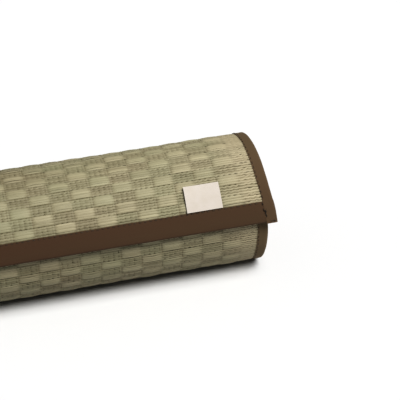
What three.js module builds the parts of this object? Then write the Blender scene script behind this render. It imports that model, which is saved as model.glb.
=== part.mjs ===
// A rush mat for the floor, 600 by 1800 mm, bound with brown cotton tape on all four
// sides and rolled up from one end. The roll's axis is X, its front is -Y, and Z is up.
// The free end lies on the front, a little proud of the turn under it.
import * as THREE from 'three';

// Driving dimensions, in millimetres and degrees
const MAT_WIDTH = 600;
const PITCH = 6.4; // the mat's thickness with the little air between turns
const TURNS = 7.2; // from the inner end to where the free end leaves the roll
const STEPS_PER_TURN = 40;
const OUTER_RADIUS = 65.2; // where the free end leaves the roll
const LEAVE_ANGLE = 36; // where it leaves, counted up from the front
const FLOOR_DEPTH = 60.1; // from the roll's centre down to its flat spot
const FREE_LENGTH = 33.5; // of the free end, from where it leaves to its edge
const FREE_CURVE = 120; // radius of the free end's own, easier curve
const FREE_THICKNESS = 5.8;
const SIDE_TAPE = 10.2;
const END_TAPE = 21;
const TAPE_THICKNESS = 1;
const TAPE_PROUD = 0.7; // of the end tape, above the rush beside it
const NOSE = 2.5; // length of the rounded fold at the free edge
const TURN_GROOVE = 2; // depth between two turns on the end face
const INNER_TAPE_ANGLE = 90; // how far the inner end's tape reaches round the core
const LABEL_WIDTH = 34;
const LABEL_HEIGHT = 25;
const LABEL_THICKNESS = 1;
const LABEL_FROM_END = 42; // from the roll's right end to the label
const GAP = 0.3; // between two pieces that touch

// How far the mat's right edge runs out past the inner turns, by the length of mat
// between that place and the free edge
const EDGE_RUN_OUT = [
  { back: 0, out: 8.2 },
  { back: 14, out: 7.8 },
  { back: 22, out: 6.7 },
  { back: 34, out: 5.3 },
  { back: 50, out: 4.2 },
  { back: 80, out: 2.8 },
  { back: 96, out: 2.2 },
  { back: 250, out: 0.6 },
  { back: 350, out: 0.2 },
  { back: 380, out: 1.2 },
  { back: 560, out: 0 },
];

const RUSH_HALF = MAT_WIDTH / 2 - SIDE_TAPE;
const LAST_STEP = Math.round(TURNS * STEPS_PER_TURN);
const FIRST_RIM_STEP = LAST_STEP - STEPS_PER_TURN;
const BORE_AT_CROTCH = LAST_STEP % STEPS_PER_TURN;
const STEP_ANGLE = 360 / STEPS_PER_TURN;
const TAPE_START = FREE_LENGTH - END_TAPE;
const TAPE_STEP = 0.5; // length over which the rush steps in under the end tape
const TAPE_UNDERSIDE = FREE_THICKNESS + 0.2;
const NOSE_MIDDLE = (TAPE_UNDERSIDE - TAPE_PROUD) / 2;
const NOSE_HALF = (TAPE_UNDERSIDE + TAPE_PROUD) / 2;
const WANDER = 0.5; // of the inner turns' edges on the end faces, never quite level
const WANDER_PER_TURN = 2.3;

// The section's points, in the plane across the roll

/** The outward direction at an angle counted up from the front. */
function outward(angle) {
  const turned = THREE.MathUtils.degToRad(angle);
  return { y: -Math.cos(turned), z: Math.sin(turned) };
}

/** The wound roll's outer radius at an angle, before it settles on the floor. */
function roundRadius(angle) {
  const behind = THREE.MathUtils.euclideanModulo(angle - LEAVE_ANGLE, 360);
  return OUTER_RADIUS - (PITCH * behind) / 360;
}

/** How much each turn is pressed in where the roll stands on its flat spot. */
function settled(angle) {
  const down = -outward(angle).z * roundRadius(angle);
  return down > FLOOR_DEPTH ? FLOOR_DEPTH / down : 1;
}

/** A reading of the run-out table. */
function runOut(back) {
  const after = EDGE_RUN_OUT.findIndex((row) => row.back >= back);
  if (after < 0) return 0;
  if (after === 0) return EDGE_RUN_OUT[0].out;
  const [low, high] = [EDGE_RUN_OUT[after - 1], EDGE_RUN_OUT[after]];
  return THREE.MathUtils.mapLinear(back, low.back, high.back, low.out, high.out);
}

/** A point of the wound mat: depth is 0 on its outer face and 1 on its inner face. */
function woundPoint(step, depth) {
  const behind = (LAST_STEP - step) / STEPS_PER_TURN;
  const angle = LEAVE_ANGLE + 360 * behind;
  const radius = (OUTER_RADIUS - PITCH * (behind + depth)) * settled(angle);
  const way = outward(angle);
  const back = FREE_LENGTH + 2 * Math.PI * behind * (OUTER_RADIUS - (PITCH * behind) / 2);
  return { y: way.y * radius, z: way.z * radius, out: runOut(back) };
}

/** A point of the free end, by the length from where it leaves and the depth in mm. */
function freePoint(along, depth) {
  const start = outward(LEAVE_ANGLE);
  const way = outward(LEAVE_ANGLE - THREE.MathUtils.radToDeg(along / FREE_CURVE));
  const middle = OUTER_RADIUS - FREE_CURVE;
  const radius = FREE_CURVE - depth;
  return {
    y: start.y * middle + way.y * radius,
    z: start.z * middle + way.z * radius,
    out: runOut(FREE_LENGTH - along),
  };
}

/** A point just outside the roll, by the length of mat from the free edge. */
function outerPoint(back, height) {
  if (back <= FREE_LENGTH) return freePoint(FREE_LENGTH - back, -height);
  const angle = LEAVE_ANGLE + THREE.MathUtils.radToDeg((back - FREE_LENGTH) / OUTER_RADIUS);
  const radius = roundRadius(angle) + height;
  const way = outward(angle);
  return { y: way.y * radius, z: way.z * radius, out: runOut(back) };
}

/** count + 1 even values from one number to another. */
function even(from, to, count) {
  return Array.from({ length: count + 1 }, (_, i) => from + ((to - from) * i) / count);
}

/** Collects the points and faces of one closed piece. */
class Piece {
  constructor() {
    this.points = [];
    this.faces = [];
  }

  /** Adds section points at a place along the roll, and returns their numbers. */
  row(section, x, followsEdge) {
    return section.map((p) => {
      this.points.push(x + (followsEdge ? p.out : 0), p.y, p.z);
      return this.points.length / 3 - 1;
    });
  }

  /** Adds a fan of triangles round a ring of points, which run anticlockwise. */
  face(ring, turned = false) {
    for (let i = 1; i < ring.length - 1; i++) {
      const [a, b, c] = [ring[0], ring[i], ring[i + 1]];
      this.faces.push(...(turned ? [a, c, b] : [a, b, c]));
    }
  }

  /** Joins two rows of points that run side by side. */
  strip(left, right, turned = false) {
    for (let i = 0; i < left.length - 1; i++) {
      this.face([left[i], left[i + 1], right[i + 1], right[i]], turned);
    }
  }

  geometry() {
    const geometry = new THREE.BufferGeometry();
    geometry.setAttribute('position', new THREE.Float32BufferAttribute(this.points, 3));
    geometry.setIndex(this.faces);
    geometry.computeVertexNormals();
    return geometry;
  }
}

// The roll's section: rim is the outer turn from the crotch under the free end round to
// where the free end leaves, upper and under are the free end's faces, and bore is the
// inside of the first turn.

const rim = even(FIRST_RIM_STEP, LAST_STEP, STEPS_PER_TURN).map((step) => woundPoint(step, 0));
const bore = even(0, STEPS_PER_TURN, STEPS_PER_TURN).map((step) => woundPoint(step, 1));

/** A stretch of the free end that keeps half a thickness about the tape's middle. */
function evenStretch(end, half) {
  return even(TAPE_START + TAPE_STEP, end, 4).map((along) => roundMiddle(along, half));
}

/** A place on the free end with its two faces at equal depths from the tape's middle. */
function roundMiddle(along, half) {
  return { along, upper: NOSE_MIDDLE - half, under: NOSE_MIDDLE + half };
}

// The free end's stations: the depth of each face at a length from where it leaves
const OPEN_STATIONS = [
  { along: 0.35 * TAPE_START, upper: 0, under: PITCH - 0.2 },
  { along: 0.7 * TAPE_START, upper: 0, under: PITCH - 0.4 },
  { along: TAPE_START, upper: 0, under: FREE_THICKNESS },
];
const RUSH_STATIONS = [
  ...OPEN_STATIONS,
  ...evenStretch(FREE_LENGTH - NOSE - GAP, NOSE_HALF - TAPE_THICKNESS - GAP),
];
const BOUND_STATIONS = [
  ...OPEN_STATIONS,
  ...evenStretch(FREE_LENGTH - NOSE, NOSE_HALF),
  roundMiddle(FREE_LENGTH - 0.3 * NOSE, 0.72 * NOSE_HALF),
  roundMiddle(FREE_LENGTH, 0.3 * NOSE_HALF),
];

/** The points of one cut across the roll, added at a place along it. */
function addCut(piece, stations, x, followsEdge) {
  return {
    rim: piece.row(rim, x, followsEdge),
    upper: piece.row(stations.map((s) => freePoint(s.along, s.upper)), x, followsEdge),
    under: piece.row(stations.map((s) => freePoint(s.along, s.under)), x, followsEdge),
    bore: piece.row(bore, x, false),
  };
}

/** Closes a piece across a cut. It faces +X unless it is turned. */
function closeCut(piece, cut, turned) {
  const crotch = cut.rim[0];
  for (let i = 0; i < STEPS_PER_TURN; i++) {
    const b = (BORE_AT_CROTCH + i) % STEPS_PER_TURN;
    const [r0, r1, b0, b1] = [cut.rim[i], cut.rim[i + 1], cut.bore[b], cut.bore[b + 1]];
    if (i === STEPS_PER_TURN - 1) piece.face([r0, r1, crotch, b1, b0], turned);
    else if (b === 0) piece.face([r1, b1, b0, cut.bore[STEPS_PER_TURN], r0], turned);
    else piece.face([r0, r1, b1, b0], turned);
  }
  const leave = cut.rim[STEPS_PER_TURN];
  piece.strip([leave, ...cut.upper], [crotch, ...cut.under], turned);
}

/** The closed line round the outside of a cut, anticlockwise from +X. */
function outsideOf(cut) {
  return [...cut.rim, ...cut.upper, ...cut.under.toReversed(), cut.rim[0]];
}

/** The rush body: one wound sheet with its standing free end and the open core. */
function rushGeometry() {
  const piece = new Piece();
  const left = addCut(piece, RUSH_STATIONS, -RUSH_HALF, false);
  const right = addCut(piece, RUSH_STATIONS, RUSH_HALF, true);
  closeCut(piece, left, true);
  closeCut(piece, right, false);
  piece.strip(outsideOf(left), outsideOf(right));
  piece.strip([...left.bore, left.bore[0]], [...right.bore, right.bore[0]], true);
  return piece.geometry();
}

/** How far a turn's edge stands back on the end face. The outer turn's edge is level. */
function turnWander(step) {
  const inward = Math.max(0, FIRST_RIM_STEP - step) / STEPS_PER_TURN;
  return WANDER * (Math.cos(WANDER_PER_TURN * inward) - 1);
}

/** The tape along one side of the mat, wound with it. side is 1 at the right end. */
function sideTapeGeometry(side) {
  const piece = new Piece();
  const turned = side < 0;
  const follows = side > 0;
  const inner = addCut(piece, BOUND_STATIONS, side * (RUSH_HALF + GAP), follows);
  closeCut(piece, inner, !turned);

  // The end face: each turn has a crest, and a groove between it and the next turn
  const edgeX = side * (MAT_WIDTH / 2 - TURN_GROOVE);
  const crestX = (step) => side * (MAT_WIDTH / 2 + turnWander(step));
  const grooves = even(0, LAST_STEP - 1, LAST_STEP - 1).map((step) => woundPoint(step, 1));
  const groove = grooves.map((p) => piece.row([p], edgeX, false)[0]);
  const rimEdge = piece.row(rim, edgeX, follows);
  const edge = [...groove, ...rimEdge];
  const crest = even(0, LAST_STEP, LAST_STEP).map((step) => {
    return piece.row([woundPoint(step, 0.5)], crestX(step), follows)[0];
  });
  const mid = (s) => freePoint(s.along, (s.upper + s.under) / 2);
  const upper = piece.row(BOUND_STATIONS.map((s) => freePoint(s.along, s.upper)), edgeX, follows);
  const under = piece.row(BOUND_STATIONS.map((s) => freePoint(s.along, s.under)), edgeX, follows);
  const ridge = piece.row(BOUND_STATIONS.map(mid), crestX(LAST_STEP), follows);
  piece.strip([...edge.slice(STEPS_PER_TURN), ...upper], [...crest, ...ridge], turned);
  piece.strip([...crest, ...ridge], [...edge.slice(0, LAST_STEP + 1), ...under], turned);

  // The walls between the inner cut and the end face
  const outside = [...rimEdge, ...upper];
  piece.strip([...inner.rim, ...inner.upper], outside, turned);
  piece.strip([...inner.under.toReversed(), inner.rim[0]], [...under.toReversed(), rimEdge[0]], turned);
  const [upperTip, ridgeTip, underTip] = [upper.at(-1), ridge.at(-1), under.at(-1)];
  piece.face([inner.upper.at(-1), inner.under.at(-1), underTip, ridgeTip, upperTip], turned);
  piece.strip(inner.bore, edge.slice(0, STEPS_PER_TURN + 1), !turned);
  const wall = [inner.bore[STEPS_PER_TURN], inner.bore[0], edge[0], crest[0], edge[STEPS_PER_TURN]];
  piece.face(wall, !turned);
  return piece.geometry();
}

/** A bent sheet along the roll, between two lines of section points. */
function sheetGeometry(outer, inner, from, to, followsEdge) {
  const piece = new Piece();
  const ends = (line) => [piece.row(line, from, false), piece.row(line, to, followsEdge)];
  const [outerLeft, outerRight] = ends(outer);
  const [innerLeft, innerRight] = ends(inner);
  piece.strip(outerLeft, outerRight);
  piece.strip(innerLeft, innerRight, true);
  piece.strip(outerLeft, innerLeft, true);
  piece.strip(outerRight, innerRight);
  piece.face([outerRight[0], innerRight[0], innerLeft[0], outerLeft[0]], false);
  piece.face([outerRight.at(-1), innerRight.at(-1), innerLeft.at(-1), outerLeft.at(-1)], true);
  return piece.geometry();
}

/** The wide tape folded round the free end. */
function endTapeGeometry() {
  const start = TAPE_START + TAPE_STEP + GAP;
  const line = (inset) => {
    const nose = NOSE - inset;
    const half = NOSE_HALF - inset;
    const flat = even(start, FREE_LENGTH - NOSE, 4);
    const upper = flat.map((along) => freePoint(along, NOSE_MIDDLE - half));
    const under = flat.toReversed().map((along) => freePoint(along, NOSE_MIDDLE + half));
    const fold = even(0, Math.PI, 8).slice(1, -1).map((turn) => {
      const along = FREE_LENGTH - NOSE + nose * Math.sin(turn);
      return freePoint(along, NOSE_MIDDLE - half * Math.cos(turn));
    });
    return [...upper, ...fold, ...under];
  };
  return sheetGeometry(line(0), line(TAPE_THICKNESS), -RUSH_HALF, RUSH_HALF, true);
}

/** The tape folded round the inner end, which lines a part of the core. */
function innerTapeGeometry() {
  const steps = Math.round(INNER_TAPE_ANGLE / STEP_ANGLE);
  const endAngle = LEAVE_ANGLE + 360 * TURNS;
  const across = outward(endAngle + 90);
  const shifted = (point, by) => ({ y: point.y + across.y * by, z: point.z + across.z * by, out: 0 });
  const line = (clear) => {
    const depth = 1 + clear / PITCH;
    const foot = shifted(woundPoint(0, GAP / PITCH), clear);
    const heel = shifted(woundPoint(0, depth), clear);
    const wall = even(0, steps, steps).slice(1).map((step) => woundPoint(step, depth));
    return [foot, heel, ...wall];
  };
  return sheetGeometry(line(GAP), line(GAP + TAPE_THICKNESS), -RUSH_HALF, RUSH_HALF, false);
}

/** The small bare cloth label that stands on the end tape's upper edge. */
function labelGeometry() {
  const lowest = END_TAPE + GAP;
  const backs = even(lowest + LABEL_HEIGHT, lowest, 5);
  const line = (height) => backs.map((back) => outerPoint(back, height));
  const right = MAT_WIDTH / 2 - LABEL_FROM_END;
  return sheetGeometry(line(GAP + LABEL_THICKNESS), line(GAP), right - LABEL_WIDTH, right, false);
}

const FINISHES = {
  rush: { color: 0xa79f74, roughness: 0.72, metalness: 0 },
  tape: { color: 0x4a3828, roughness: 0.9, metalness: 0 },
  label: { color: 0xe4dacd, roughness: 0.85, metalness: 0 },
};

/** A named piece of the roll with its own finish. */
function mesh(name, geometry, finish) {
  const made = new THREE.Mesh(geometry, new THREE.MeshStandardMaterial(FINISHES[finish]));
  made.name = name;
  return made;
}

const roll = new THREE.Group();
roll.add(mesh('rush_mat', rushGeometry(), 'rush'));
roll.add(mesh('side_tape_right', sideTapeGeometry(1), 'tape'));
roll.add(mesh('side_tape_left', sideTapeGeometry(-1), 'tape'));
roll.add(mesh('end_tape', endTapeGeometry(), 'tape'));
roll.add(mesh('inner_end_tape', innerTapeGeometry(), 'tape'));
roll.add(mesh('label', labelGeometry(), 'label'));

// The origin is on the floor, under the middle of the roll
const extent = new THREE.Box3().setFromObject(roll);
const middle = extent.getCenter(new THREE.Vector3());
roll.position.set(-middle.x, -middle.y, -extent.min.z);

const part = new THREE.Group();
part.add(roll);

export default part;
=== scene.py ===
"""A rush floor mat, bound with brown cotton tape and rolled up, made around its fixed frame.

Lengths are in metres and angles in radians. The roll's axis is X, its front is -Y and Z is
up. Every piece is laid out flat first, as a maker would lay out the mat, and is then wound:
x runs across the mat's width, u is the length of mat from its free edge, measured along its
outer face, and depth is the distance below that face.
"""

import logging
import math
from dataclasses import dataclass
from enum import Enum

import bpy
import numpy as np
from mathutils import Matrix, Vector


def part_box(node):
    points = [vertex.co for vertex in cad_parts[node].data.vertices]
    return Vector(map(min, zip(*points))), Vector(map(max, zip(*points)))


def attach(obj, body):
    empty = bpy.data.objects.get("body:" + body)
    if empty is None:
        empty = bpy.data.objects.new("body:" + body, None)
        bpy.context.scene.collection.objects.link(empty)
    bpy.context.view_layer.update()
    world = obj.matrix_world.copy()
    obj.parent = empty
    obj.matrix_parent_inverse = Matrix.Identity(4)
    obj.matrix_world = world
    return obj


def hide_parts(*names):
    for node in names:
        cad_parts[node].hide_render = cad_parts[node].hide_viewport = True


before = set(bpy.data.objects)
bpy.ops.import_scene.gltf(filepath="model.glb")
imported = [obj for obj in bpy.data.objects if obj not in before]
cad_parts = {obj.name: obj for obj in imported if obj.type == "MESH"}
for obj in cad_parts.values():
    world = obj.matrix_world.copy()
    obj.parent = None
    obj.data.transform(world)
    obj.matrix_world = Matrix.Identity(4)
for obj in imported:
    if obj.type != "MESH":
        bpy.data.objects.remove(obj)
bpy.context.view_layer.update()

MM = 0.001
IMAGE_SIDE = 400  # pixels of the square image
SENSOR_WIDTH = 36.0  # millimetres

HALF_WIDTH = 300 * MM  # of the mat
SIDE_TAPE = 10.2 * MM  # width of the side tape on the mat's face
END_TAPE = 21 * MM  # width of the end tape there
TAPE_EDGE = HALF_WIDTH - SIDE_TAPE  # the side tape's inner edge, across the mat
TAPE_THICKNESS = 0.7 * MM
TAPE_FACE = 0.35 * MM  # how far the tapes stand above the mat's outer face
MAT_MIDDLE = 2.8 * MM  # depth of the middle of the mat's thickness

LOG = logging.getLogger("rolled_mat")


class Side(Enum):
    """The mat's two long sides, by the way each one faces along X."""

    LEFT = -1
    RIGHT = 1


class Shed(Enum):
    """The two openings of the warp, by the columns over which the rush then floats."""

    EVEN_COLUMNS = 0
    ODD_COLUMNS = 1


def ripple(along: np.ndarray, wavelength: float, seed: int) -> np.ndarray:
    """A smooth variation between about -1 and 1 that is the same in each run.

    Args:
        along: the places at which it is read.
        wavelength: the length of its longest wave, in the same unit.
        seed: the number that sets its phases.

    Returns:
        The variation at each place.
    """
    phases = np.random.default_rng(seed).uniform(0, 2 * math.pi, 3)
    waves = [
        np.sin(2 * math.pi * along * shorter / wavelength + phase) / shorter
        for shorter, phase in zip((1.0, 1.83, 3.1), phases)  # so it never quite repeats
    ]
    return sum(waves) / 1.5


def smooth_step(value: np.ndarray, low: float, high: float) -> np.ndarray:
    """How far a value is on its way from low to high, eased at both ends.

    Args:
        value: the values to place.
        low: where the result is 0.
        high: where the result is 1. It may be below low.

    Returns:
        Numbers from 0 to 1.
    """
    share = np.clip((value - low) / (high - low), 0, 1)
    return share * share * (3 - 2 * share)


@dataclass(frozen=True)
class Winding:
    """The line along which the mat is wound, and the way a flat place goes onto it."""

    centre_x: float
    centre_y: float
    pitch: float = 6.4 * MM  # from one turn to the next
    turns: float = 7.2
    outer_radius: float = 65.2 * MM
    leave_angle: float = math.radians(36)  # above the front, where the free end leaves the roll
    floor_depth: float = 60.1 * MM  # of the paper below the roll's centre line
    free_length: float = 33.5 * MM
    free_radius: float = 120 * MM  # the free end is bent less than the roll
    swell: float = 0.3 * MM  # how uneven the turns are
    swell_across: float = 230 * MM  # the waves of that across the mat
    swell_along: float = 90 * MM  # and along it
    # The right edge's run-out past the inner turns, by the length from the free edge in mm
    run_out_at: tuple[float, ...] = (0, 14, 22, 34, 50, 80, 96, 250, 350, 380, 560)
    run_out_mm: tuple[float, ...] = (8.2, 7.8, 6.7, 5.3, 4.2, 2.8, 2.2, 0.6, 0.2, 1.2, 0)
    run_out_from: float = 242 * MM  # the place across the mat where the run-out begins
    # The back of the outer turn lies loosely, so it holds a little more mat than its curve
    slack: float = 10.45 * MM
    slack_from: float = 130 * MM
    slack_to: float = 320 * MM

    @classmethod
    def from_frame(cls) -> "Winding":
        """Places the winding's centre line where the frame's rush solid has it.

        Returns:
            The winding.
        """
        low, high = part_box("rush_mat")
        behind = (math.pi - cls.leave_angle) / (2 * math.pi)
        return cls(
            centre_x=low.x + TAPE_EDGE,
            centre_y=high.y - (cls.outer_radius - cls.pitch * behind),
        )

    def turns_behind(self, u: np.ndarray) -> np.ndarray:
        """How many turns a place lies behind the one where the free end leaves the roll.

        Args:
            u: lengths from the free edge, none of them on the free end.

        Returns:
            Numbers of turns.
        """
        length = np.minimum(u, self.length_at(self.turns)) - self.free_length
        return (
            self.outer_radius - np.sqrt(self.outer_radius**2 - self.pitch * length / math.pi)
        ) / self.pitch

    def length_at(self, behind: float) -> float:
        """The length from the free edge to the place that many turns behind the leaving one."""
        return self.free_length + 2 * math.pi * behind * (self.outer_radius - self.pitch * behind / 2)

    def along_cloth(self, u: np.ndarray) -> np.ndarray:
        """Where mat that is counted row by row lies, once its slack is laid into the turn.

        Args:
            u: lengths of flat mat from its free edge.

        Returns:
            Lengths along the winding.
        """
        stretch = self.slack_to + self.slack - self.slack_from
        return u - self.slack * np.clip((u - self.slack_from) / stretch, 0, 1)

    def stations(self, steps_per_turn: int, start: float = 0.0) -> np.ndarray:
        """Even steps along the whole mat, from a place on the free end to the inner end.

        Args:
            steps_per_turn: how many steps one turn has.
            start: the length from the free edge to the first one.

        Returns:
            Lengths from the free edge.
        """
        step = 2 * math.pi * self.outer_radius / steps_per_turn
        count = math.ceil((self.free_length - start) / step)
        free = np.linspace(start, self.free_length, count, endpoint=False)
        behind = np.linspace(0, self.turns, round(self.turns * steps_per_turn) + 1)
        return np.concatenate([free, [self.length_at(b) for b in behind]])

    def settled(self, angle: np.ndarray) -> np.ndarray:
        """How much the turns are pressed in where the roll stands on its flat spot.

        Args:
            angle: angles counted up from the front.

        Returns:
            Factors by which the distance from the centre shrinks.
        """
        behind = np.mod(angle - self.leave_angle, 2 * math.pi) / (2 * math.pi)
        down = -np.sin(angle) * (self.outer_radius + self.swell - self.pitch * behind)
        return np.where(down > self.floor_depth, self.floor_depth / np.maximum(down, MM), 1)

    def wind(self, x: np.ndarray, u: np.ndarray, depth: np.ndarray) -> np.ndarray:
        """Takes flat places to where they are on the roll.

        Args:
            x: places across the mat.
            u: lengths from the free edge.
            depth: depths below the outer face.

        Returns:
            An array of points, with the three coordinates last.
        """
        x, u, depth = np.broadcast_arrays(x, u, depth)
        free = u < self.free_length
        behind = self.turns_behind(np.maximum(u, self.free_length))
        along_free = (self.free_length - u) / self.free_radius
        angle = self.leave_angle + np.where(free, -along_free, 2 * math.pi * behind)
        even = np.where(free, self.free_radius, self.outer_radius - self.pitch * behind)
        across = ripple(x, self.swell_across, seed=3)
        along = ripple(u + 0.2 * x, self.swell_along, seed=4)  # these waves lie a little askew
        radius = even - depth + self.swell * (0.6 * across + 0.4 * along)
        radius = radius * np.where(free, 1, self.settled(angle))
        hub = np.where(free, self.outer_radius - self.free_radius, 0)
        run_out = np.interp(u / MM, self.run_out_at, self.run_out_mm) * MM
        follows = smooth_step(x, self.run_out_from, TAPE_EDGE)
        y = -hub * math.cos(self.leave_angle) - radius * np.cos(angle)
        z = hub * math.sin(self.leave_angle) + radius * np.sin(angle) + self.floor_depth
        return np.stack(
            [self.centre_x + x + run_out * follows, self.centre_y + y, np.maximum(z, 0)], axis=-1
        )


@dataclass(frozen=True)
class Weave:
    """The block weave: columns across the mat, rows along it, and the strands in a row."""

    column: float = 19.54 * MM
    row: float = 10.45 * MM
    column_zero: float = 60.7 * MM  # the left side of column 0
    first_column: int = -17
    last_column: int = 10
    row_zero: float = 20.4 * MM  # the near side of row 0, from the free edge
    strands_in_row: int = 4
    warps_in_column: int = 4

    def strand_pitch(self) -> float:
        """The distance between two strands."""
        return self.row / self.strands_in_row

    def warp_pitch(self) -> float:
        """The distance between two warps."""
        return self.column / self.warps_in_column

    def left_of(self, column: int) -> float:
        """The left side of a column."""
        return self.column_zero + column * self.column


class WoundMesh:
    """Collects rings of flat places into one mesh, and winds them onto the roll."""

    def __init__(self, winding: Winding) -> None:
        """Starts with nothing in it.

        Args:
            winding: the line along which its places are wound.
        """
        self.winding = winding
        self.points: list[np.ndarray] = []
        self.cloth: list[np.ndarray] = []
        self.tone: list[np.ndarray] = []
        self.green: list[np.ndarray] = []
        self.quads: list[np.ndarray] = []
        self.corners: list[np.ndarray] = []
        self.count = 0

    def add_rings(
        self,
        x: np.ndarray,
        u: np.ndarray,
        depth: np.ndarray,
        tone: np.ndarray | float = 0.5,
        across: np.ndarray | None = None,
        green: np.ndarray | float = 0.5,
    ) -> None:
        """Adds closed tubes, each one a row of rings with both its ends closed.

        Args:
            x: places across the mat, by tube, ring and point of the ring.
            u: lengths from the free edge, in the same order.
            depth: depths below the outer face, in the same order.
            tone: how light the finish is, from 0 to 1.
            across: the place across a folded strip of cloth, where that isn't x.
            green: how green the stems are, from 0 to 1.
        """
        x, u, depth, tone, green = np.broadcast_arrays(x, u, depth, tone, green)
        across = x if across is None else np.broadcast_to(across, x.shape)
        tubes, rings, size = x.shape
        number = np.arange(x.size).reshape(x.shape) + self.count
        after = np.roll(number, -1, axis=2)
        walls = [number[:, :-1], after[:, :-1], after[:, 1:], number[:, 1:]]
        self.quads.append(np.stack(walls, axis=-1).reshape(-1, 4))
        for i in range((size - 1) // 2):
            ends = [i, i + 1, size - 2 - i, size - 1 - i]
            if ends[1] == ends[2]:
                ends.pop(1)
            target = self.quads if len(ends) == 4 else self.corners
            target.append(number[:, -1, ends])
            target.append(number[:, 0, ends[::-1]])
        self.points.append(self.winding.wind(x, u, depth).reshape(-1, 3))
        self.cloth.append(np.stack([across, u, depth], axis=-1).reshape(-1, 3))
        self.tone.append(tone.reshape(-1))
        self.green.append(green.reshape(-1))
        self.count += x.size

    def build(self, name: str, crease: float | None = None) -> bpy.types.Object:
        """Makes the mesh, its faces pointing out, with its flat places kept on its points.

        Args:
            name: the piece's name.
            crease: the angle between faces above which an edge stays sharp.

        Returns:
            The new object.
        """
        points = np.concatenate(self.points)
        quads = np.concatenate(self.quads)
        corners = np.concatenate(self.corners) if self.corners else np.zeros((0, 3), int)
        halves = np.concatenate([quads[:, [0, 1, 2]], quads[:, [0, 2, 3]], corners])
        a, b, c = (points[halves[:, i]] for i in range(3))
        if (a * np.cross(b, c)).sum() < 0:
            quads, corners = quads[:, ::-1], corners[:, ::-1]
        mesh = bpy.data.meshes.new(name)
        mesh.from_pydata(points.tolist(), [], quads.tolist() + corners.tolist())
        cloth = mesh.attributes.new("cloth", "FLOAT_VECTOR", "POINT")
        cloth.data.foreach_set("vector", np.concatenate(self.cloth).astype(np.float32).ravel())
        for kept, parts in (("tone", self.tone), ("green", self.green)):
            values = mesh.attributes.new(kept, "FLOAT", "POINT").data
            values.foreach_set("value", np.concatenate(parts).astype(np.float32))
        mesh.shade_smooth()
        if crease is not None:
            mesh.set_sharp_from_angle(angle=crease)
        made = bpy.data.objects.new(name, mesh)
        bpy.context.scene.collection.objects.link(made)
        return made


def linear(colour: str) -> tuple[float, float, float, float]:
    """The linear colour of an sRGB hex value, with an alpha of 1."""
    parts = [int(colour[i : i + 2], 16) / 255 for i in (1, 3, 5)]
    return (*[p / 12.92 if p <= 0.04045 else ((p + 0.055) / 1.055) ** 2.4 for p in parts], 1.0)


def add_node(
    tree: bpy.types.NodeTree,
    kind: str,
    settings: dict[str | int, object] | None = None,
    links: dict[str | int, bpy.types.NodeSocket] | None = None,
) -> bpy.types.Node:
    """Adds one node to a material.

    Args:
        tree: the material's node tree.
        kind: the node's type, without the ShaderNode that each type starts with.
        settings: values by the name of a property, or by the name or number of an input.
        links: the sockets that feed its inputs, by the input's name or number.

    Returns:
        The new node.
    """
    node = tree.nodes.new("ShaderNode" + kind)
    for key, value in (settings or {}).items():
        if isinstance(key, str) and hasattr(node, key):
            setattr(node, key, value)
        else:
            node.inputs[key].default_value = value
    for key, socket in (links or {}).items():
        tree.links.new(socket, node.inputs[key])
    return node


MIX_A, MIX_B = 6, 7  # the colour inputs of a Mix node
MIX_RESULT = 2  # its colour output
NOISE_LOW, NOISE_HIGH = 0.3, 0.7  # nearly all the values of a noise texture lie between these
WAVE_TURN = 20  # radians by which a wave texture of scale 1 turns in one unit


@dataclass(frozen=True)
class Finish:
    """What every finish has: a name, and a shader that its own paint method sets up."""

    name: str

    def paint(self, tree: bpy.types.NodeTree) -> bpy.types.Node:
        """Adds the finish's nodes and returns its shader."""
        raise NotImplementedError

    def material(self) -> bpy.types.Material:
        """Makes the material.

        Returns:
            The new material, with the shader linked to its output.
        """
        made = bpy.data.materials.new(self.name)
        made.use_nodes = True
        made.node_tree.nodes.clear()
        shader = self.paint(made.node_tree)
        add_node(made.node_tree, "OutputMaterial", links={"Surface": shader.outputs[0]})
        return made


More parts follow.
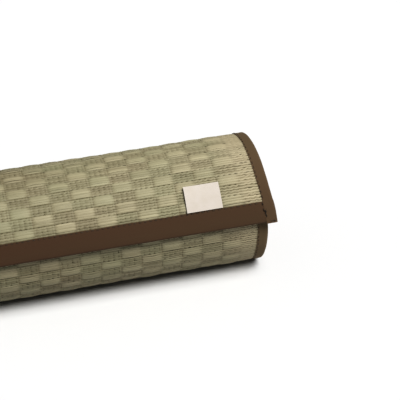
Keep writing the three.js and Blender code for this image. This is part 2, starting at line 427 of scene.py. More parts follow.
@dataclass(frozen=True)
class RushStrands(Finish):
    """Dried rush stems, as woven: waxy straw that is greener where it was cut young.

    Each stem has its own tone and fine streaks along it. The grooves between stems are painted
    darker the deeper they lie, a painted shade that gives the blocks their dark outlines. Beside
    the side tapes the stems' butts show, which are paler and a little pink.
    """

    pale: str = "#9e977e"
    dark: str = "#6c644e"
    green: str = "#7d8066"
    butt: str = "#9a8f78"
    # the colour of the painted shade in the grooves between stems
    groove: str = "#544b33"
    groove_share: float = 0.85  # how much of the groove's shade shows at its bottom
    groove_from: float = 0.15 * MM  # depth at which the painted shade begins
    groove_to: float = 1.05 * MM
    streak_length: float = 45 * MM
    streak_width: float = 0.7 * MM
    streak_height: float = 0.12 * MM
    streak_tone: float = 0.19  # how much lighter or darker than its stem a streak is
    patch_size: float = 60 * MM
    patch_green: tuple[float, float] = (-0.4, 0.2)  # what a patch adds to its stems' green
    painted_light_from: float = 50 * MM  # the place across the mat from which the stems are painted paler, as light falling from the right
    painted_light_tone: tuple[float, float] = (-0.15, 0.19)  # the painted light's tone there and at the right; left of that place the stems are painted darker
    green_share: tuple[float, float] = (0.8, 0.35)  # how much green shows left and right
    butt_from: float = HALF_WIDTH - 45 * MM  # from the middle, where the butts begin to show
    butt_to: float = HALF_WIDTH - 20 * MM
    butt_share: float = 0.5

    def paint(self, tree: bpy.types.NodeTree) -> bpy.types.Node:
        """Adds the nodes of the stems.

        Args:
            tree: the material's node tree.

        Returns:
            The shader.
        """
        cloth = add_node(tree, "Attribute", {"attribute_name": "cloth"}).outputs["Vector"]
        tone = add_node(tree, "Attribute", {"attribute_name": "tone"}).outputs["Fac"]
        young = add_node(tree, "Attribute", {"attribute_name": "green"}).outputs["Fac"]
        across, _, depth = add_node(tree, "SeparateXYZ", links={0: cloth}).outputs
        from_middle = add_node(tree, "Math", {"operation": "ABSOLUTE"}, {0: across}).outputs[0]
        stretch = (1 / self.streak_length, 1 / self.streak_width, 1 / self.streak_width)
        flat = add_node(tree, "Mapping", {"Scale": stretch}, {"Vector": cloth})
        streak = add_node(
            tree, "TexNoise", {"Scale": 1.0, "Detail": 3.0}, {"Vector": flat.outputs[0]}
        ).outputs["Fac"]
        patch = add_node(
            tree, "TexNoise", {"Scale": 1 / self.patch_size, "Detail": 2.0}, {"Vector": cloth}
        ).outputs["Fac"]
        streaked, painted_light, patched, shown, near_tape, painted_groove_shade = (
            add_node(
                tree, "MapRange",
                {"From Min": begins, "From Max": ends, "To Min": low, "To Max": high},
                {"Value": value},
            ).outputs[0]
            for value, begins, ends, low, high in (
                (streak, NOISE_LOW, NOISE_HIGH, -self.streak_tone, self.streak_tone),
                # painted light: stems darker at the left and paler towards the right, where the light
                # falls
                (across, self.painted_light_from, HALF_WIDTH, *self.painted_light_tone),
                (patch, NOISE_LOW, NOISE_HIGH, *self.patch_green),
                (across, -HALF_WIDTH, HALF_WIDTH, *self.green_share),
                (from_middle, self.butt_from, self.butt_to, 0.0, self.butt_share),
                # painted shade: the deeper a place lies between the stems, the more groove colour it
                # gets
                (depth, self.groove_from, self.groove_to, 0.0, self.groove_share),
            )
        )
        varied = add_node(tree, "Math", {"operation": "ADD"}, {0: painted_light, 1: streaked}).outputs[0]
        light = add_node(
            tree, "Math", {"operation": "ADD", "use_clamp": True}, {0: tone, 1: varied}
        ).outputs[0]
        greened = add_node(
            tree, "Math", {"operation": "ADD", "use_clamp": True}, {0: young, 1: patched}
        ).outputs[0]
        green = add_node(tree, "Math", {"operation": "MULTIPLY"}, {0: greened, 1: shown}).outputs[0]
        colour = add_node(
            tree, "Mix",
            {"data_type": "RGBA", MIX_A: linear(self.dark), MIX_B: linear(self.pale)},
            {0: light},
        ).outputs[MIX_RESULT]
        shades = ((green, self.green), (near_tape, self.butt), (painted_groove_shade, self.groove))
        for share, shade in shades:
            colour = add_node(
                tree, "Mix", {"data_type": "RGBA", MIX_B: linear(shade)}, {0: share, MIX_A: colour}
            ).outputs[MIX_RESULT]
        bump = add_node(
            tree, "Bump", {"Strength": 0.6, "Distance": self.streak_height}, {"Height": streak}
        ).outputs[0]
        return add_node(
            tree, "BsdfPrincipled",
            {"Roughness": 0.58, "IOR": 1.45, "Specular IOR Level": 0.35},
            {"Base Color": colour, "Normal": bump},
        )


@dataclass(frozen=True)
class RushBacking(Finish):
    """The mat's body under the strands: rush packed on hemp warps, in the strands' shade.

    On the faces that no strand covers it shows the same blocks, as colour and bump.
    """

    light: str = "#8b8369"
    shade: str = "#6f674f"
    # painted shade between the strands, mixed in along the strand bands
    gap: str = "#575037"
    weave: Weave = Weave()
    strand_height: float = 0.5 * MM
    strand_wander: float = 0.6  # how crooked the strands lie

    def paint(self, tree: bpy.types.NodeTree) -> bpy.types.Node:
        """Adds the nodes of the backing.

        Args:
            tree: the material's node tree.

        Returns:
            The shader.
        """
        cloth = add_node(tree, "Attribute", {"attribute_name": "cloth"}).outputs["Vector"]
        blocks = add_node(
            tree, "Mapping", {"Scale": (1 / self.weave.column, 1 / self.weave.row, 0.0)},
            {"Vector": cloth},
        )
        checks = add_node(
            tree, "TexChecker",
            {"Scale": 1.0, "Color1": linear(self.light), "Color2": linear(self.shade)},
            {"Vector": blocks.outputs[0]},
        ).outputs["Color"]
        strands = add_node(
            tree, "Mapping",
            {"Scale": (1.0, 1 / self.weave.strand_pitch(), 0.0)}, {"Vector": cloth},
        )
        bands = add_node(
            tree, "TexWave",
            {"bands_direction": "Y", "Scale": math.tau / WAVE_TURN, "Distortion": self.strand_wander},
            {"Vector": strands.outputs[0]},
        ).outputs["Fac"]
        # painted shade: the gap colour darkens the troughs between the strands
        colour = add_node(
            tree, "Mix", {"data_type": "RGBA", MIX_A: linear(self.gap)}, {0: bands, MIX_B: checks}
        ).outputs[MIX_RESULT]
        bump = add_node(
            tree, "Bump", {"Strength": 0.8, "Distance": self.strand_height}, {"Height": bands}
        ).outputs[0]
        return add_node(
            tree, "BsdfPrincipled",
            {"Roughness": 0.7, "IOR": 1.45, "Specular IOR Level": 0.25},
            {"Base Color": colour, "Normal": bump},
        )


@dataclass(frozen=True)
class CottonTape(Finish):
    """Plain woven cotton binding tape, dyed brown: matt, with a soft bloom at grazing angles.

    Its threads are about 0.4 mm apart, which is too fine to show, so they are drawn at
    twice that. The dye took unevenly, in faint reddish clouds.
    """

    brown: str = "#413022"
    red_brown: str = "#422b1f"
    pale_brown: str = "#5f513d"
    bloom: str = "#d8c8b0"
    thread: float = 0.8 * MM
    thread_height: float = 0.08 * MM
    cloud: float = 38 * MM
    cloud_edge: tuple[float, float] = (0.35, 0.65)  # the noise where a cloud starts and is full
    crease: float = 76 * MM  # from one faint crease to the next
    crease_height: float = 1.2 * MM

    def paint(self, tree: bpy.types.NodeTree) -> bpy.types.Node:
        """Adds the nodes of the tape.

        Args:
            tree: the material's node tree.

        Returns:
            The shader.
        """
        cloth = add_node(tree, "Attribute", {"attribute_name": "cloth"}).outputs["Vector"]
        tone = add_node(tree, "Attribute", {"attribute_name": "tone"}).outputs["Fac"]
        clouds, creases, threads = (
            add_node(
                tree, "TexNoise", {"Scale": 1 / size, "Detail": detail}, {"Vector": cloth}
            ).outputs["Fac"]
            for size, detail in ((self.cloud, 3.0), (self.crease, 2.0), (self.thread, 1.0))
        )
        dyed = add_node(
            tree, "MapRange",
            {"From Min": self.cloud_edge[0], "From Max": self.cloud_edge[1]}, {"Value": clouds},
        ).outputs[0]
        colour = add_node(
            tree, "Mix",
            {"data_type": "RGBA", MIX_A: linear(self.brown), MIX_B: linear(self.red_brown)},
            {0: dyed},
        ).outputs[MIX_RESULT]
        # the tone attribute mixes in the pale brown: the side tapes' paler colour together with painted
        # light and sheen towards the top of the roll, and painted light at the end tape's right end
        colour = add_node(
            tree, "Mix", {"data_type": "RGBA", MIX_B: linear(self.pale_brown)},
            {0: tone, MIX_A: colour},
        ).outputs[MIX_RESULT]
        creased = add_node(
            tree, "Bump", {"Strength": 0.7, "Distance": self.crease_height}, {"Height": creases}
        ).outputs[0]
        bump = add_node(
            tree, "Bump", {"Strength": 0.6, "Distance": self.thread_height},
            {"Height": threads, "Normal": creased},
        ).outputs[0]
        return add_node(
            tree, "BsdfPrincipled",
            {
                "Roughness": 0.88, "IOR": 1.45, "Specular IOR Level": 0.2,
                "Sheen Weight": 0.1, "Sheen Roughness": 0.5, "Sheen Tint": linear(self.bloom),
            },
            {"Base Color": colour, "Normal": bump},
        )


@dataclass(frozen=True)
class LabelCotton(Finish):
    """Bleached cotton in a fine plain weave, starched: cream, matt and a little uneven.

    Its threads are drawn about twice as coarse as they are, so that they show.
    """

    cream: str = "#b2aca6"
    worn: str = "#aaa399"
    thread: float = 0.7 * MM
    thread_height: float = 0.05 * MM
    cloud: float = 9 * MM

    def paint(self, tree: bpy.types.NodeTree) -> bpy.types.Node:
        """Adds the nodes of the label.

        Args:
            tree: the material's node tree.

        Returns:
            The shader.
        """
        cloth = add_node(tree, "Attribute", {"attribute_name": "cloth"}).outputs["Vector"]
        clouds, threads = (
            add_node(
                tree, "TexNoise", {"Scale": 1 / size, "Detail": detail}, {"Vector": cloth}
            ).outputs["Fac"]
            for size, detail in ((self.cloud, 2.0), (self.thread, 1.0))
        )
        colour = add_node(
            tree, "Mix",
            {"data_type": "RGBA", MIX_A: linear(self.cream), MIX_B: linear(self.worn)},
            {0: clouds},
        ).outputs[MIX_RESULT]
        bump = add_node(
            tree, "Bump", {"Strength": 0.5, "Distance": self.thread_height}, {"Height": threads}
        ).outputs[0]
        return add_node(
            tree, "BsdfPrincipled",
            {"Roughness": 0.85, "IOR": 1.45, "Specular IOR Level": 0.2},
            {"Base Color": colour, "Normal": bump},
        )


@dataclass(frozen=True)
class SewingThread(Finish):
    """Twisted polyester thread, with a slight gloss and darker lines of painted shade between its
    plies.
    """

    shade: str
    ply_line: str = "#1a120c"
    twist: float = 0.6 * MM

    def paint(self, tree: bpy.types.NodeTree) -> bpy.types.Node:
        """Adds the nodes of the thread.

        Args:
            tree: the material's node tree.

        Returns:
            The shader.
        """
        cloth = add_node(tree, "Attribute", {"attribute_name": "cloth"}).outputs["Vector"]
        twists = add_node(
            tree, "TexNoise", {"Scale": 1 / self.twist, "Detail": 1.0}, {"Vector": cloth}
        ).outputs["Fac"]
        # painted shade between the plies, laid in as noise
        colour = add_node(
            tree, "Mix",
            {"data_type": "RGBA", MIX_A: linear(self.shade), MIX_B: linear(self.ply_line)},
            {0: twists},
        ).outputs[MIX_RESULT]
        return add_node(tree, "BsdfPrincipled", {"Roughness": 0.6, "IOR": 1.45}, {"Base Color": colour})


@dataclass(frozen=True)
class StudioPaper(Finish):
    """The plain white paper that the roll lies on: matt, so that it shows a shadow alone."""

    white: str = "#c9c9c9"

    def paint(self, tree: bpy.types.NodeTree) -> bpy.types.Node:
        """Adds the paper's shader and returns it."""
        return add_node(
            tree, "BsdfPrincipled",
            {"Base Color": linear(self.white), "Roughness": 0.95, "Specular IOR Level": 0.1},
        )


@dataclass(frozen=True)
class WovenMat:
    """The mat's body: one wound sheet, on whose outer face the strands lie."""

    winding: Winding
    upper: float = 1.1 * MM  # depth of its outer face, under the strands
    under: float = 5.4 * MM  # and of its inner face
    reach: float = HALF_WIDTH - 1.6 * MM  # it ends inside the folds of the tapes
    free_edge: float = 2.5 * MM
    steps_across: int = 40
    steps_per_turn: int = 48

    def build(self) -> bpy.types.Object:
        """Makes the sheet.

        Returns:
            The new object.
        """
        x = np.linspace(-self.reach, self.reach, self.steps_across + 1)
        ring_x = np.concatenate([x, x[::-1]])
        ring_depth = np.repeat([self.upper, self.under], len(x))
        u = self.winding.stations(self.steps_per_turn, self.free_edge)
        mesh = WoundMesh(self.winding)
        mesh.add_rings(ring_x[None, None, :], u[None, :, None], ring_depth[None, None, :])
        return mesh.build("woven_mat", crease=math.radians(50))


@dataclass(frozen=True)
class RushRows:
    """All the strands of one shed: each floats over every other column in a raised bundle,
    and in the columns between, every warp ties it down."""

    winding: Winding
    weave: Weave
    shed: Shed
    first_strand: int = -1  # one strand lies hidden under the end tape
    end: float = 405 * MM  # under the free end, where the next turn goes out of sight
    under_tape: float = 1.2 * MM  # how far a strand runs in under the side tapes
    section: tuple[tuple[float, float], ...] = ((-1.0, 0.0), (-0.5, 0.9), (0.5, 0.9), (1.0, 0.0))
    half_width: float = 1.4 * MM
    half_height: float = 0.38 * MM
    # Bundles that float
    float_shares: tuple[float, ...] = (0.0, 0.06, 0.2, 0.5, 0.8, 0.94)  # places along a float
    float_low: float = 1.0 * MM  # depth of a float's ends
    float_rise: float = 0.82 * MM
    bundle_rise: float = 0.28 * MM  # of a bundle's two middle strands
    bundle_squeeze: float = 0.05  # how much closer together its strands are halfway
    packing: float = 0.5  # how far the grooves inside a bundle are filled
    rim: float = 1.15  # half heights by which its near side dips, and a tied row's far side
    # Strands that are tied down
    tie_shares: tuple[float, ...] = (0.02, 0.27, 0.5, 0.73)  # places from warp to warp
    bound_depth: float = 0.36 * MM
    tie_depth: float = 0.38 * MM  # how far a warp presses a strand in
    weak_tie: float = 0.55  # the share of that at every other warp
    tie_pinch: float = 0.1  # how much narrower a strand is there
    tie_wave: float = 0.26 * MM  # how far a warp pulls it aside
    # The change towards the mat's sides, and the selvedge past the last column
    side_from: float = 120 * MM  # the place across the mat where the change begins
    side_gap: float = 0.8  # how much emptier the grooves are at the side
    side_wave: float = 0.7  # how much more the strands wave there
    side_press: float = 0.5  # and how much less the warps press them in
    selvedge_gap: float = 0.5 * MM
    selvedge_steps: int = 3  # from warp to warp
    selvedge_press: float = 0.3  # how hard its few warps tie it down
    selvedge_stray: float = 0.12 * MM  # how far its strands wander by themselves
    # The seams of the tapes
    seam_dip: float = 0.4 * MM  # how far they press the strands in
    side_seam: float = 3 * MM  # how far from the side tape that begins
    end_seam: float = 2.6 * MM
    # How uneven the strands are, as spreads about the even weave
    own_place: float = 0.07 * MM
    float_place: float = 0.1 * MM
    bound_place: float = 0.12 * MM
    float_lift: float = 0.07 * MM
    bound_lift: float = 0.05 * MM
    tie_spread: float = 0.2
    width_spread: float = 0.04
    # How light they are, from 0 to 1, and how green
    float_tone: float = 0.585
    # painted shade: tied strands are painted darker than the floats, for the shade between their tight
    # ties
    bound_tone: float = 0.277
    selvedge_tone: float = 0.5
    block_spread: float = 0.085
    strand_spread: float = 0.046
    top_light: float = 0.22  # painted light: how much paler the upper part of the outer turn's right half is painted
    top_light_across: tuple[float, float] = (20 * MM, 140 * MM)  # where it begins and is full
    top_light_near: tuple[float, float] = (65 * MM, 110 * MM)
    top_light_far: tuple[float, float] = (330 * MM, 250 * MM)
    greens: tuple[float, float] = (0.15, 0.75)

    def selvedge(self, start: float, stop: float, number: float) -> list[tuple[float, ...]]:
        """The places along a strand beside the last column, where it wanders freely.

        Args:
            start: where the selvedge begins.
            stop: where it ends.
            number: a number half a step from the last column's, as no column has.

        Returns:
            Rows as in samples.
        """
        step = self.weave.warp_pitch() / self.selvedge_steps
        rows = [(start, number, 0.0, 0.0, 0, 0.0)]
        for count in range(math.ceil(start / step) + 1, math.floor(stop / step)):
            tied = count % self.selvedge_steps == 1
            tie, aside = (self.selvedge_press, 1.0) if tied else (0.0, -0.5)
            rows.append((count * step, number, 0.0, tie, round(count / self.selvedge_steps), aside))
        return [*rows, (stop, number, 0.0, 0.0, 0, 0.0)]

    def samples(self) -> tuple[np.ndarray, ...]:
        """The places along a strand, and what the strand does at each of them.

        Returns:
            x, the column's number, the arch of a float from 0 to 1, how hard a warp ties the
            strand down, the warp's number, and how far aside the strand lies there.
        """
        weave = self.weave
        first, last = weave.first_column, weave.last_column
        left, right = weave.left_of(first), weave.left_of(last + 1)
        end = TAPE_EDGE + self.under_tape
        rows = self.selvedge(-end, left - self.selvedge_gap, first - 0.5)
        for number in range(first, last + 1):
            if number % 2 == self.shed.value:
                for share in self.float_shares:
                    x = weave.left_of(number) + share * weave.column
                    rows.append((x, number, math.sin(math.pi * share) ** 0.5, 0.0, 0, 0.0))
                continue
            for warp in range(weave.warps_in_column):
                for share in self.tie_shares:
                    x = weave.left_of(number) + (warp + share) * weave.warp_pitch()
                    aside = -math.cos(2 * math.pi * share)
                    rows.append((x, number, 0.0, float(share == 0.5), warp, aside))
        rows += self.selvedge(right + self.selvedge_gap, end, last + 0.5)
        return tuple(np.array(rows).T)

    def numbers(self) -> np.ndarray:
        """The strands that belong to this shed.

        Returns:
            A column of their numbers, counted from the near side of row 0.
        """
        count = int((self.end - self.weave.row_zero) / self.weave.strand_pitch())
        numbers = np.arange(self.first_strand, count)
        rows = numbers // self.weave.strands_in_row
        return numbers[rows % 2 == self.shed.value][:, None]

    def build(self) -> bpy.types.Object:
        """Makes the strands.

        Returns:
            The new object.
        """
        weave = self.weave
        numbers = self.numbers()
        rows = numbers // weave.strands_in_row
        outermost = (weave.strands_in_row - 1) / 2
        place = numbers % weave.strands_in_row - outermost
        x, column, arch, tie, warp, aside = (a[None, :] for a in self.samples())
        floats = column % 2 == self.shed.value
        beside = column % 1 > 0
        near_side = smooth_step(np.abs(x), self.side_from, HALF_WIDTH)

        seed = 20 + self.shed.value
        random = np.random.default_rng(seed)
        cells = (len(numbers), int(column.max() - column.min()) + 1)
        cell = (column[0] - column.min()).astype(int)
        shift, lift, tint = (random.normal(size=cells)[:, cell] for _ in range(3))
        own = random.normal(size=(len(numbers), 1))
        blocks = random.uniform(*self.greens, size=(int(rows.max()) + 2, cells[1]))
        green = blocks[rows[:, 0]][:, cell]
        loose = random.normal(size=(len(numbers), x.shape[1]))

        weak = (warp + numbers) % 2 == 1
        tie = tie * np.where(weak, self.weak_tie, 1) * (1 + self.tie_spread * loose)
        tie = tie * (1 - self.side_press * near_side)
        aside = aside * (1 + self.side_wave * near_side)
        u = weave.row_zero + (rows + 0.5) * weave.row + self.own_place * own
        u = u + place * weave.strand_pitch() * (1 - self.bundle_squeeze * arch)
        u = u + self.float_place * arch * shift + self.bound_place * (1 - arch) * loose
        u = u + self.tie_wave * aside + self.selvedge_stray * loose * beside
        rise = self.float_rise + self.bundle_rise * (np.abs(place) < outermost)
        floated = self.float_low - (rise + self.float_lift * lift) * arch
        bound = self.bound_depth + self.tie_depth * tie + self.bound_lift * loose
        seam = np.maximum(
            smooth_step(np.abs(x), TAPE_EDGE - self.side_seam, TAPE_EDGE),
            smooth_step(u, END_TAPE + self.end_seam, END_TAPE),
        )
        depth = np.where(floats, floated, bound) + self.seam_dip * seam
        width = self.half_width * (1 - self.tie_pinch * tie) * (1 + self.width_spread * own)

        # painted light on the upper part of the outer turn's right half, where the light falls
        # strongest
        top_lit = smooth_step(x, *self.top_light_across) * smooth_step(u, *self.top_light_near)
        top_lit = top_lit * smooth_step(u, *self.top_light_far)
        # the tied strands' lower tone is painted shade
        tone = np.where(floats, self.float_tone, self.bound_tone)
        tone = np.where(beside, self.selvedge_tone, tone) + self.top_light * top_lit
        tone = np.clip(tone + self.block_spread * tint + self.strand_spread * own, 0, 1)

        filled = np.where(floats, self.packing * arch, 0) - self.side_gap * near_side
        near = np.where(place > -outermost, filled, np.where(floats, -self.rim * arch, 0))
        far = np.where(place < outermost, filled, np.where(floats, 0, -self.rim))
        crown = np.zeros_like(depth)
        section = np.array(self.section)
        height = section[:, 1] + np.stack([near, crown, crown, far], axis=-1)
        mesh = WoundMesh(self.winding)
        mesh.add_rings(
            x[:, :, None],
            self.winding.along_cloth(u[:, :, None] + width[:, :, None] * section[:, 0]),
            depth[:, :, None] - self.half_height * height,
            tone[:, :, None],
            green=green[:, :, None],
        )
        return mesh.build(f"rush_{self.shed.name.lower()}", crease=math.radians(80))


def fold_line(reach: float, half: float, nose: float) -> np.ndarray:
    """The closed line round a strip of tape that is folded over an edge of the mat.

    Args:
        reach: how far the tape reaches in from the edge.
        half: half of its thickness over all, mat included.
        nose: the length of the rounded fold.

    Returns:
        Rows of the distance in from the edge, the depth from the mat's middle, and the
        place across the tape.
    """
    lines = []
    for inset in (0.0, TAPE_THICKNESS):
        tall, deep = half - inset, nose - inset
        face = np.linspace(reach, nose, 5)
        turn = np.linspace(-math.pi / 2, math.pi / 2, 9)[1:-1]
        inward = np.concatenate([face, nose - deep * np.cos(turn), face[::-1]])
        level = np.concatenate([-tall + 0 * face, tall * np.sin(turn), tall + 0 * face])
        lines.append(np.stack([inward, level], axis=1))
    steps = np.linalg.norm(np.diff(lines[0], axis=0), axis=1)
    across = np.concatenate([[0], np.cumsum(steps)])
    outer = np.column_stack([lines[0], across])
    inner = np.column_stack([lines[1], across])
    return np.concatenate([outer, inner[::-1]])


@dataclass(frozen=True)
class SideBinding:
    """The tape along one long side, folded over the mat's edge and wound with it."""

    winding: Winding
    side: Side
    half: float = 3.0 * MM  # half of its thickness over all, mat included
    nose: float = 2.6 * MM  # the length of its rounded fold
    beyond: float = 0.6 * MM  # how far it stands past the free edge
    proud: float = 0.6 * MM  # and past the mat's side
    corner: float = 22.5 * MM  # the stretch at the free end where the end tape lies under it
    corner_slope: float = 2.5 * MM
    corner_proud: float = 0.2 * MM
    turn_end: tuple[float, float] = (400 * MM, 440 * MM)  # where the outer turn goes inside
    wander: float = 0.6 * MM  # of the inner turns, which are never quite level
    wander_wave: float = 170 * MM
    edge: float = 0.35 * MM  # how uneven its inner edge is
    edge_wave: float = 60 * MM
    pucker: float = 0.08 * MM
    pucker_wave: float = 21 * MM
    # painted light and sheen: the tape is painted darker at the corner and paler up towards the top of
    # the roll, where more light falls
    corner_tone: float = 0.45
    tone: float = 1.0
    tone_reach: float = 140 * MM  # how far from the corner the darker tone has become the paler one
    steps_per_turn: int = 72

    def build(self) -> bpy.types.Object:
        """Makes the tape.

        Returns:
            The new object.
        """
        line = fold_line(SIDE_TAPE, self.half, self.nose)
        inward, level, across = (line[:, i][None, None, :] for i in range(3))
        u = self.winding.stations(self.steps_per_turn, -self.beyond)
        extra = self.corner - self.corner_slope * np.array([1, 0.48, 0])  # rings on the slope
        u = np.sort(np.concatenate([u, extra]))[None, :, None]
        over = smooth_step(u, self.corner, self.corner - self.corner_slope)
        seed = 11 + self.side.value
        edge = self.edge * ripple(u, self.edge_wave, seed) * inward / SIDE_TAPE
        inner = smooth_step(u, *self.turn_end)
        out = self.proud + self.wander * (ripple(u, self.wander_wave, seed + 5) - 1) * inner
        out = (out + self.corner_proud * over) * (1 - inward / SIDE_TAPE)
        soft = self.pucker * ripple(u + 2 * inward, self.pucker_wave, seed + 9)
        depth = MAT_MIDDLE + level * (1 + over * self.corner_proud / self.half) + soft
        x = self.side.value * (HALF_WIDTH + out - inward - edge)
        # painted light: paler away from the corner
        share = smooth_step(u, 0, self.tone_reach)
        tone = self.corner_tone + (self.tone - self.corner_tone) * share
        mesh = WoundMesh(self.winding)
        mesh.add_rings(x, u, depth, tone, across)
        return mesh.build(f"{self.side.name.lower()}_side_binding", crease=math.radians(60))


@dataclass(frozen=True)
class EndBinding:
    """The wide tape folded over one end of the mat. Its ends lie under the side tapes."""

    winding: Winding
    free: bool
    half: float = 3.35 * MM  # half of its thickness over all, mat included
    inner_press: float = 0.4 * MM  # how much flatter the inner end's tape is wound
    nose: float = 2.5 * MM  # the length of its rounded fold
    reach_across: float = HALF_WIDTH - 1.0 * MM
    drop: float = 0.4 * MM  # how much flatter it is under the side tapes
    drop_slope: float = 1 * MM
    edge: float = 0.25 * MM  # how uneven its inner edge is
    edge_wave: float = 70 * MM
    pucker: float = 0.1 * MM
    pucker_wave: float = 43 * MM
    tone: float = 0.05
    right_light: float = 0.18  # how much paler its right end is painted, as painted light from the right
    steps_across: int = 150

    def build(self) -> bpy.types.Object:
        """Makes the tape.

        Returns:
            The new object.
        """
        half = self.half if self.free else self.half - self.inner_press
        line = fold_line(END_TAPE, half, self.nose)
        inward, level, across = (line[:, i][None, None, :] for i in range(3))
        x = np.linspace(-self.reach_across, self.reach_across, self.steps_across + 1)
        x = x[None, :, None]
        under = smooth_step(np.abs(x), TAPE_EDGE - self.drop_slope, TAPE_EDGE)
        seed = 31 if self.free else 37
        edge = self.edge * ripple(x, self.edge_wave, seed) * inward / END_TAPE
        soft = self.pucker * ripple(x + 3 * inward, self.pucker_wave, seed + 2)
        depth = MAT_MIDDLE + level * (1 - under * self.drop / half) + soft
        along = inward + edge
        if not self.free:
            along = self.winding.length_at(self.winding.turns) - along
        # painted light: the tape is paler towards the right
        tone = np.clip(self.tone + self.right_light * x / HALF_WIDTH, 0, 1)
        mesh = WoundMesh(self.winding)
        mesh.add_rings(x, along, depth, tone, across)
        name = "free_end_binding" if self.free else "inner_end_binding"
        return mesh.build(name, crease=math.radians(60))


@dataclass(frozen=True)
class Label:
    """The small bare cloth label that is sewn in at the end tape's upper edge."""

    winding: Winding
    width: float = 33 * MM  # the part of it that the seam leaves in sight
    height: float = 24.4 * MM
    right: float = 256.6 * MM  # its right side, across the mat
    gap: float = 0.3 * MM  # between it and the end tape's edge
    thickness: float = 0.5 * MM
    lift: float = 1.15 * MM  # above the mat's outer face
    spring: float = 0.9 * MM  # how far its top stands off
    curl: float = 0.7 * MM  # how far its left side stands off
    curl_foot: float = 0.4  # the share of that at its foot

    def build(self) -> bpy.types.Object:
        """Makes the label.

        Returns:
            The new object.
        """
        share = np.linspace(0, 1, 15)
        x = self.right - self.width * (1 - share)
        ring_x = np.concatenate([x, x[::-1]])[None, None, :]
        left = np.concatenate([1 - share, 1 - share[::-1]])[None, None, :]
        layer = np.repeat([1.0, 0.0], len(x))[None, None, :]
        rise = np.linspace(0, 1, 13)[None, :, None]
        u = END_TAPE + self.gap + self.height * rise
        curled = self.curl * left**3 * (self.curl_foot + (1 - self.curl_foot) * rise)
        height = self.lift + self.spring * rise**2 + curled + self.thickness * layer
        mesh = WoundMesh(self.winding)
        mesh.add_rings(ring_x, u, -height)
        return mesh.build("cloth_label", crease=math.radians(60))


@dataclass(frozen=True)
class Stitches:
    """The thread that shows: a row along each tape's inner edge, the tacks that close the
    two corners at the free end, and the frayed threads of the side tapes there."""

    winding: Winding
    pitch: float = 5 * MM
    length: float = 2.6 * MM
    thread: float = 0.28 * MM  # the thread's radius
    rise: float = 0.3 * MM
    sunk: float = 0.2 * MM  # how deep in the cloth a stitch begins and ends
    from_edge: float = 1.1 * MM
    side_rows: tuple[float, float] = (24 * MM, 430 * MM)  # the part of the outer turn in sight
    end_row: float = TAPE_EDGE - 2 * MM  # how far out the row on the end tape runs
    tack_lift: float = 0.8 * MM  # the tapes and their seam are thicker at a corner
    # x and u where a thread comes out, and then where it goes in, in mm. x counts outwards
    # from the side tape's inner edge.
    tacks: tuple[tuple[float, ...], ...] = (
        (-0.9, 20, -0.8, 17.5), (-1.6, 14.2, -0.8, 11.6), (-0.6, 12.4, 1.2, 10.6),
        (1.0, 13.0, -0.2, 9.6), (-0.2, 10.4, 0.4, 7.6), (0.5, 8.6, 0.8, 6.0),
    )
    frays: tuple[tuple[float, ...], ...] = (
        (3.4, 1.5, 6.4, 1.2), (5.6, 0.9, 9.2, 1.3), (6.8, 2.0, 8.6, 1.0),
    )

    def lay(self, mesh: WoundMesh, starts: np.ndarray, stops: np.ndarray, face: float) -> None:
        """Adds stitches that rise out of the cloth and go back into it.

        Args:
            mesh: the mesh that takes them.
            starts: rows of x and u where each stitch comes out.
            stops: rows of x and u where it goes in again.
            face: how far the cloth stands above the mat's outer face.
        """
        share = np.linspace(0, 1, 6)[None, :, None]
        turn = np.linspace(0, 2 * math.pi, 6, endpoint=False)[None, None, :]
        way = stops - starts
        side = np.stack([-way[:, 1], way[:, 0]], axis=1)
        side = side / np.linalg.norm(side, axis=1)[:, None]
        line = starts[:, None, :] + way[:, None, :] * share
        arch = face + self.rise * np.sin(math.pi * share) - self.sunk
        x = line[:, :, :1] + self.thread * np.cos(turn) * side[:, None, :1]
        u = line[:, :, 1:] + self.thread * np.cos(turn) * side[:, None, 1:]
        mesh.add_rings(x, u, -(arch + self.thread * np.sin(turn)))

    def build(self) -> list[bpy.types.Object]:
        """Makes the rows of stitches and the threads at the corners.

        Returns:
            The two new objects.
        """
        rows = WoundMesh(self.winding)
        corners = WoundMesh(self.winding)
        u = np.arange(*self.side_rows, self.pitch)
        for side in Side:
            x = np.full_like(u, side.value * (TAPE_EDGE + self.from_edge))
            start = np.stack([x, u], axis=1)
            self.lay(rows, start, start + [0, self.length], TAPE_FACE)
            for table, face in (self.tacks, TAPE_FACE + self.tack_lift), (self.frays, TAPE_FACE):
                ends = np.array(table) * MM
                ends[:, ::2] = side.value * (TAPE_EDGE + ends[:, ::2])
                self.lay(corners, ends[:, :2], ends[:, 2:], face)
        x = np.arange(-self.end_row, self.end_row - self.length, self.pitch)
        start = np.stack([x, np.full_like(x, END_TAPE - self.from_edge)], axis=1)
        self.lay(rows, start, start + [self.length, 0], 2 * TAPE_FACE)
        return [rows.build("binding_stitches"), corners.build("corner_tacks")]


def towards(azimuth: float, elevation: float) -> Vector:
    """The direction from the roll towards a place round it.

    Args:
        azimuth: the angle from the front towards the right.
        elevation: the angle above the paper.

    Returns:
        A vector of length 1.
    """
    level = math.cos(elevation)
    return Vector((math.sin(azimuth) * level, -math.cos(azimuth) * level, math.sin(elevation)))


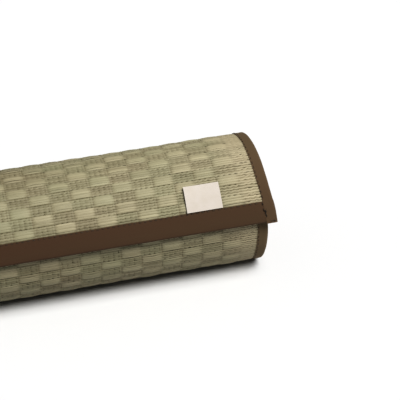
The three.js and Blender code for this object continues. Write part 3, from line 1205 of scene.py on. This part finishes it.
@dataclass(frozen=True)
class Studio:
    """The white paper, the soft light from above the front, and the camera."""

    winding: Winding
    azimuth: float = math.radians(-11.56)  # of the camera, from the front towards the right
    elevation: float = math.radians(30)
    tilt: float = math.radians(-3.47)  # of the camera about its line of sight
    distance: float = 1.5
    focal_pixels: float = 1532.5
    target: tuple[float, float, float] = (249.0 * MM, 0.81 * MM, 65.0 * MM)
    paper_half: float = 40.0  # so wide that its edge is never seen
    key_elevation: float = math.radians(55.5)
    key_azimuth: float = math.radians(32)  # from the front towards the right
    key_spread: float = math.radians(35)  # how wide the softbox looks from the roll
    key_strength: float = 5.75
    sky: float = 0.22
    contrast: float = 0.74  # the film's gamma, which deepens the shades a little

    def camera(self) -> None:
        """Places the camera as the photograph's was."""
        back = towards(self.azimuth, self.elevation)
        level = Vector((0, 0, 1)).cross(back).normalized()
        upright = back.cross(level)
        right = level * math.cos(self.tilt) + upright * math.sin(self.tilt)
        up = upright * math.cos(self.tilt) - level * math.sin(self.tilt)
        target = Vector(self.target) + Vector((self.winding.centre_x, self.winding.centre_y, 0))
        data = bpy.data.cameras.new("camera")
        data.sensor_width = SENSOR_WIDTH
        data.lens = self.focal_pixels / IMAGE_SIDE * SENSOR_WIDTH
        camera = bpy.data.objects.new("camera", data)
        turned = Matrix((right, up, back)).transposed()
        camera.matrix_world = Matrix.Translation(target + back * self.distance) @ turned.to_4x4()
        bpy.context.scene.collection.objects.link(camera)
        bpy.context.scene.camera = camera

    def paper(self) -> None:
        """Lays the paper on which the roll lies."""
        half = self.paper_half
        mesh = bpy.data.meshes.new("paper")
        corners = [(-half, -half, 0), (half, -half, 0), (half, half, 0), (-half, half, 0)]
        mesh.from_pydata(corners, [], [(0, 1, 2, 3)])
        mesh.materials.append(StudioPaper("white_studio_paper").material())
        floor = bpy.data.objects.new("paper", mesh)
        bpy.context.scene.collection.objects.link(floor)

    def lights(self) -> None:
        """Adds the soft key light and the even light from all round."""
        scene = bpy.context.scene
        data = bpy.data.lights.new("key", "SUN")
        data.angle = self.key_spread
        data.energy = self.key_strength
        key = bpy.data.objects.new("key", data)
        back = towards(self.key_azimuth, self.key_elevation)
        key.rotation_euler = back.to_track_quat("Z", "Y").to_euler()
        scene.collection.objects.link(key)
        world = bpy.data.worlds.new("studio")
        world.use_nodes = True
        background = world.node_tree.nodes["Background"]
        background.inputs["Color"].default_value = (1, 1, 1, 1)
        background.inputs["Strength"].default_value = self.sky
        scene.world = world
        scene.view_settings.view_transform = "Standard"
        scene.view_settings.gamma = self.contrast


def fit(piece: bpy.types.Object, material: bpy.types.Material, slot: str, *nodes: str) -> None:
    """Dresses a piece, fixes it to the roll's one body and reports it.

    Args:
        piece: the new piece.
        material: what it is made of.
        slot: not used.
        nodes: the solids that it stands for.
    """
    piece.data.materials.append(material)
    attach(piece, "root")
    if nodes:
        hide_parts(*nodes)
    faces = len(piece.data.polygons)
    LOG.info("%s: %d faces, for %s", piece.name, faces, ", ".join(nodes) or "no solid")


def main() -> None:
    """Builds the roll and its studio."""
    winding = Winding.from_frame()
    weave = Weave()
    studio = Studio(winding)
    studio.camera()
    studio.paper()
    studio.lights()

    strands = RushStrands("woven_soft_rush").material()
    tape = CottonTape("brown_cotton_tape").material()
    threads = [
        SewingThread("brown_polyester_thread", "#4e4030").material(),
        SewingThread("black_polyester_thread", "#1c150f").material(),
    ]

    body = WovenMat(winding).build()
    fit(body, RushBacking("packed_rush_backing").material(), "rush", "rush_mat")
    rows = [RushRows(winding, weave, shed).build() for shed in Shed]
    for row in rows:
        fit(row, strands, "rush")
    sides = {side: SideBinding(winding, side).build() for side in Side}
    fit(sides[Side.RIGHT], tape, "tape", "side_tape_right")
    fit(sides[Side.LEFT], tape, "tape", "side_tape_left")
    ends = [EndBinding(winding, free).build() for free in (True, False)]
    fit(ends[0], tape, "tape", "end_tape")
    fit(ends[1], tape, "tape", "inner_end_tape")
    label = Label(winding).build()
    fit(label, LabelCotton("bleached_label_cotton").material(), "label", "label")
    for stitches, thread in zip(Stitches(winding).build(), threads):
        fit(stitches, thread, "tape")


if __name__ == "__main__":
    logging.basicConfig(level=logging.INFO, format="%(name)s: %(message)s")
    main()
